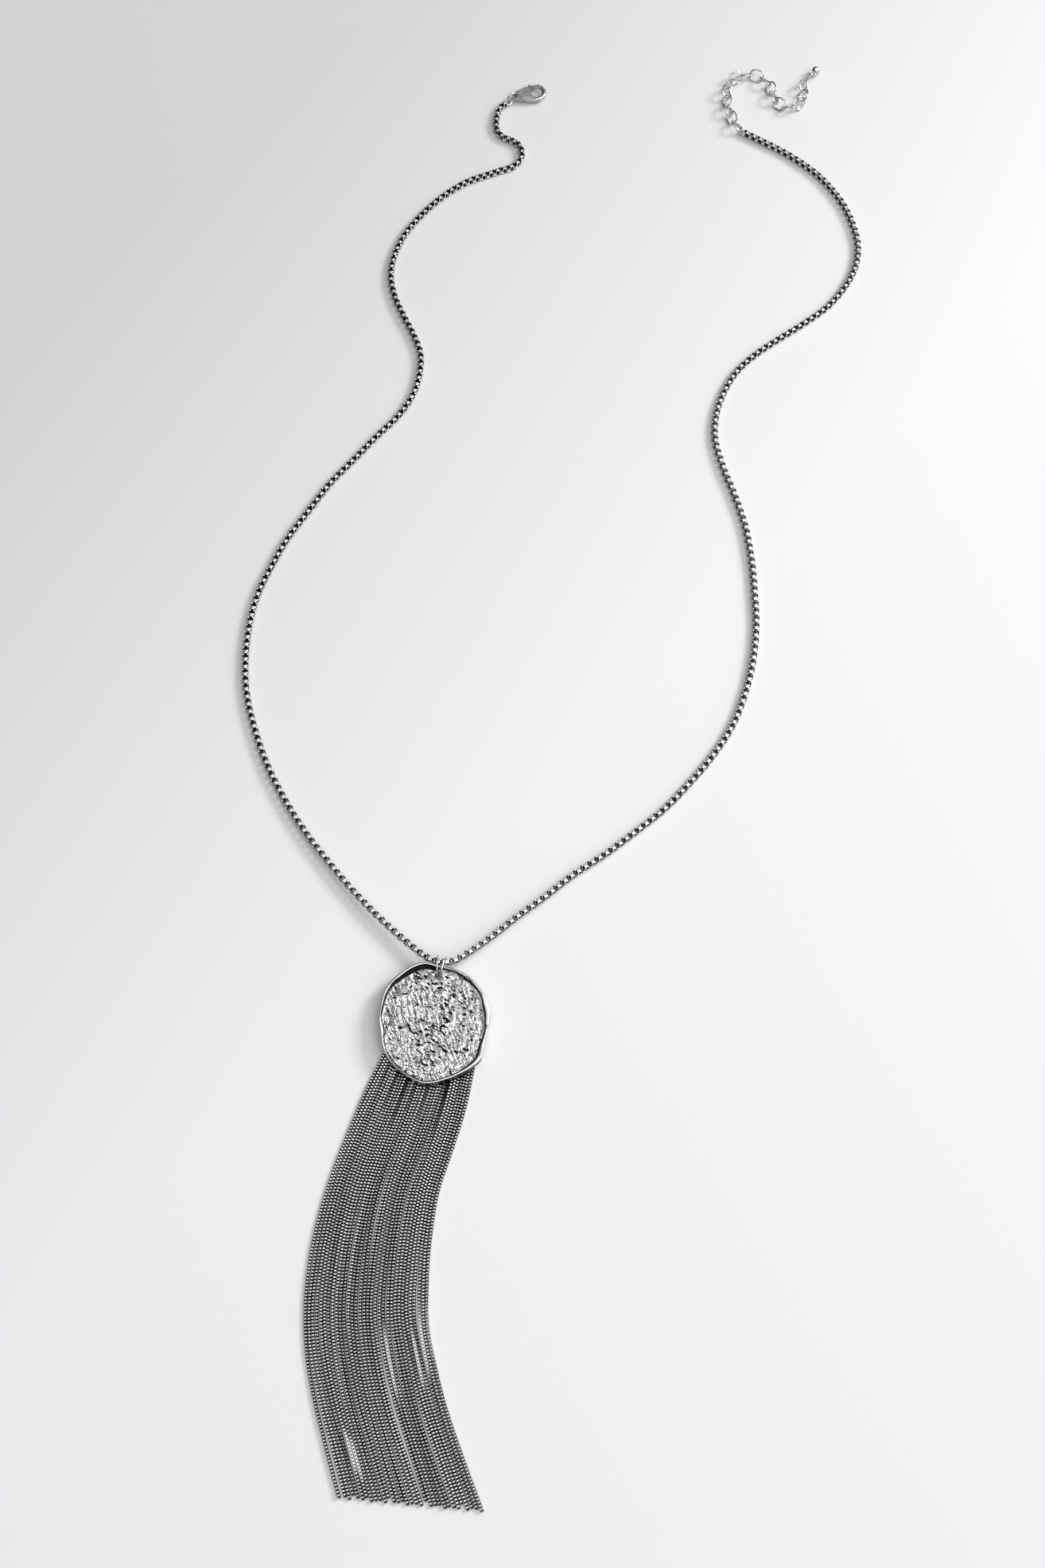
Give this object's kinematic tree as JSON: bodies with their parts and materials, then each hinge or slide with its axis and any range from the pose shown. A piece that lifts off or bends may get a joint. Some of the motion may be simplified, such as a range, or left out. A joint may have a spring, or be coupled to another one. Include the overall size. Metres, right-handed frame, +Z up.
{
  "type": "coin pendant necklace",
  "caption": "Long necklace lying open, with a beaten coin pendant in a polished rim, a long fringe of fine chains below it, a lobster clasp and an extender chain with a bead.",
  "frame": {"origin": "on the surface that the necklace lies on, under the middle of its bounding box", "axes": "+Y from the fringe's ends to the clasp and the extender, +Z up off the surface, +X towards the extender's side"},
  "size_m": [0.2007, 0.4768, 0.0065],
  "materials": {
    "neck_chain_metal": "polished silver plating, dark between the links",
    "coin_metal": "beaten satin silver plating on the face, polished on the rim",
    "fringe_metal": "silver plating, darkened between the links",
    "fittings_metal": "polished silver plating"
  },
  "bodies": {
    "root": {"neck_chain_left": "neck_chain_metal", "neck_chain_right": "neck_chain_metal", "bail_ring_a": "fittings_metal", "bail_ring_b": "fittings_metal", "coin": "coin_metal", "fringe": "fringe_metal", "clasp_ring": "fittings_metal", "clasp_body": "fittings_metal", "end_bead": "fittings_metal", "extender_link_01": "fittings_metal", "extender_link_02": "fittings_metal", "extender_link_03": "fittings_metal", "extender_link_04": "fittings_metal", "extender_link_05": "fittings_metal", "extender_link_06": "fittings_metal", "extender_link_07": "fittings_metal", "extender_link_08": "fittings_metal", "extender_link_09": "fittings_metal", "extender_link_10": "fittings_metal", "extender_link_11": "fittings_metal", "extender_link_12": "fittings_metal", "extender_link_13": "fittings_metal", "extender_link_14": "fittings_metal", "extender_link_15": "fittings_metal", "extender_link_16": "fittings_metal", "extender_link_17": "fittings_metal", "extender_link_18": "fittings_metal"},
    "clasp_lever": {"clasp_lever": "fittings_metal"}
  },
  "joints": [
    {"name": "clasp_lever", "type": "hinge", "parent": "root", "child": "clasp_lever", "pos_m": [-0.01226, 0.22845, 0.0014], "axis": [0, 0, -1], "range_deg": [0, 25], "stiffness_Nm_per_rad": 0.009, "springref_deg": -17.19}
  ]
}
